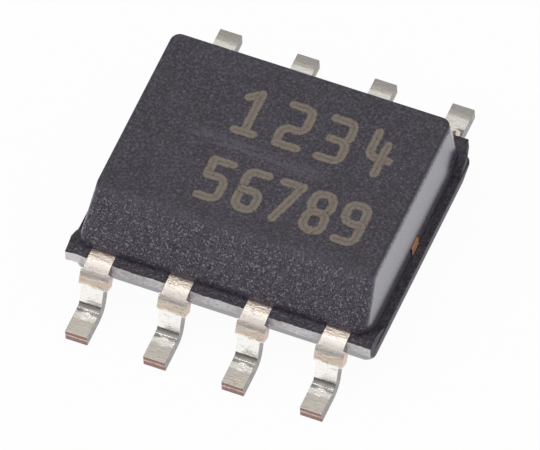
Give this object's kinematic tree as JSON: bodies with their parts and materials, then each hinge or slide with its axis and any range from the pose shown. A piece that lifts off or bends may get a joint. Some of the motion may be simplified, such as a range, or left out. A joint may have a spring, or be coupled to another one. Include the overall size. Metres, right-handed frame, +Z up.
{
  "type": "small-outline integrated circuit",
  "caption": "Small-outline chip: a dark moulded block with a bevelled long edge and gull-wing leads along both long sides.",
  "frame": {"origin": "centre of the footprint on the seating plane, under the feet", "axes": "+Z up out of the board, +Y across the two rows of leads away from the bevelled side, +X along the moulding from lead 1 to lead 4"},
  "size_m": [0.005, 0.006, 0.0016],
  "materials": {
    "moulding_compound": "dark charcoal moulding compound, finely grained top and bevel, satin end walls",
    "tin_plated_copper": "matt tin plate over copper, bare copper at the cut tips and dam bar stubs",
    "bare_copper": "bare copper sheet",
    "silver_filled_adhesive": "matt grey adhesive",
    "silicon": "polished silicon",
    "gold": "drawn gold wire"
  },
  "bodies": {
    "root": {"moulded_body": "moulding_compound", "lead_1": "tin_plated_copper", "lead_2": "tin_plated_copper", "lead_3": "tin_plated_copper", "lead_4": "tin_plated_copper", "lead_5": "tin_plated_copper", "lead_6": "tin_plated_copper", "lead_7": "tin_plated_copper", "lead_8": "tin_plated_copper", "die_pad": "bare_copper", "die_attach": "silver_filled_adhesive", "die": "silicon", "bond_wire_1": "gold", "bond_wire_2": "gold", "bond_wire_3": "gold", "bond_wire_4": "gold", "bond_wire_5": "gold", "bond_wire_6": "gold", "bond_wire_7": "gold", "bond_wire_8": "gold"}
  },
  "joints": []
}
